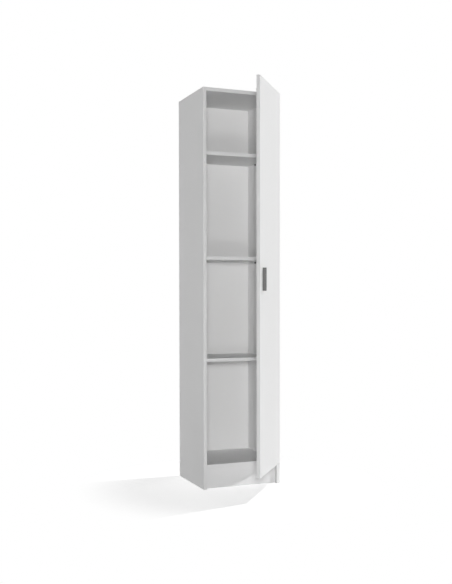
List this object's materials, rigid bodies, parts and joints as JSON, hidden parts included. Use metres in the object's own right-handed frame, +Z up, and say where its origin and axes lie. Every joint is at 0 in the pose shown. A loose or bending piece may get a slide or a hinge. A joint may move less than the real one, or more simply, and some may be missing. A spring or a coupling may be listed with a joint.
{
  "type": "narrow cupboard",
  "caption": "Tall narrow board cupboard on a set-back plinth, with shelves behind one full-height door on concealed cup hinges and a short bar handle.",
  "frame": {"origin": "on the floor, in the middle of the width, halfway through the plinth's thickness, on the plinth's underside", "axes": "+Z up; +Y to the back, so the door and the open front face -Y; +X to the side that carries the hinges"},
  "size_m": [0.38, 0.6557, 1.82],
  "materials": {
    "white_board": "white melamine on chipboard, satin, with white edging",
    "white_hardboard": "hardboard, lacquered white inside and raw brown behind, matt",
    "dark_grey_handle": "dark grey, satin",
    "nickel_steel": "nickel plated",
    "dark_steel": "burnished dark",
    "zinc_alloy": "plain zinc alloy casting, dull",
    "white_plastic": "matt",
    "clear_rubber": "soft, milky clear"
  },
  "bodies": {
    "carcass": {"left_side_panel": "white_board", "right_side_panel": "white_board", "top_panel": "white_board", "bottom_panel": "white_board", "plinth_panel": "white_board", "lower_shelf": "white_board", "middle_shelf": "white_board", "upper_shelf": "white_board", "back_panel": "white_hardboard", "plinth_block_left": "white_plastic", "plinth_block_right": "white_plastic", "shelf_pin_lower_left_front": "dark_steel", "shelf_pin_lower_left_rear": "dark_steel", "shelf_pin_lower_right_front": "dark_steel", "shelf_pin_lower_right_rear": "dark_steel", "shelf_pin_middle_left_front": "dark_steel", "shelf_pin_middle_left_rear": "dark_steel", "shelf_pin_middle_right_front": "dark_steel", "shelf_pin_middle_right_rear": "dark_steel", "shelf_pin_upper_left_front": "dark_steel", "shelf_pin_upper_left_rear": "dark_steel", "shelf_pin_upper_right_front": "dark_steel", "shelf_pin_upper_right_rear": "dark_steel", "cam_connector_top_left_front": "zinc_alloy", "cam_connector_top_left_rear": "zinc_alloy", "cam_connector_top_right_front": "zinc_alloy", "cam_connector_top_right_rear": "zinc_alloy", "cam_connector_bottom_left_front": "zinc_alloy", "cam_connector_bottom_left_rear": "zinc_alloy", "cam_connector_bottom_right_front": "zinc_alloy", "cam_connector_bottom_right_rear": "zinc_alloy", "lower_hinge_plate": "zinc_alloy", "lower_hinge_arm": "nickel_steel", "middle_hinge_plate": "zinc_alloy", "middle_hinge_arm": "nickel_steel", "upper_hinge_plate": "zinc_alloy", "upper_hinge_arm": "nickel_steel"},
    "outer_links": {"lower_outer_link": "nickel_steel", "middle_outer_link": "nickel_steel", "upper_outer_link": "nickel_steel"},
    "inner_links": {"lower_inner_link": "nickel_steel", "middle_inner_link": "nickel_steel", "upper_inner_link": "nickel_steel"},
    "door": {"door_panel": "white_board", "door_handle": "dark_grey_handle", "handle_screw_lower": "nickel_steel", "handle_screw_upper": "nickel_steel", "door_bumper_lower": "clear_rubber", "door_bumper_upper": "clear_rubber", "lower_hinge_cup": "nickel_steel", "middle_hinge_cup": "nickel_steel", "upper_hinge_cup": "nickel_steel"}
  },
  "joints": [
    {"name": "outer_links_turn", "type": "hinge", "parent": "carcass", "child": "outer_links", "pos_m": [0.1518, -0.0124, 0], "axis": [0, 0, 1], "range_deg": [-14.2, 17.4]},
    {"name": "door_swing", "type": "hinge", "parent": "outer_links", "child": "door", "pos_m": [0.16717, -0.04063, 0], "axis": [0, 0, 1], "range_deg": [-69.5, 56.7]},
    {"name": "inner_links_turn", "type": "hinge", "parent": "carcass", "child": "inner_links", "pos_m": [0.1529, -0.0329, 0], "axis": [0, 0, 1], "range_deg": [-20.6, 25.2]}
  ],
  "couplings": [
    {"joint": "outer_links_turn", "follows": "door_swing", "ratio": -0.24812},
    {"joint": "inner_links_turn", "follows": "door_swing", "ratio": -0.3609}
  ]
}
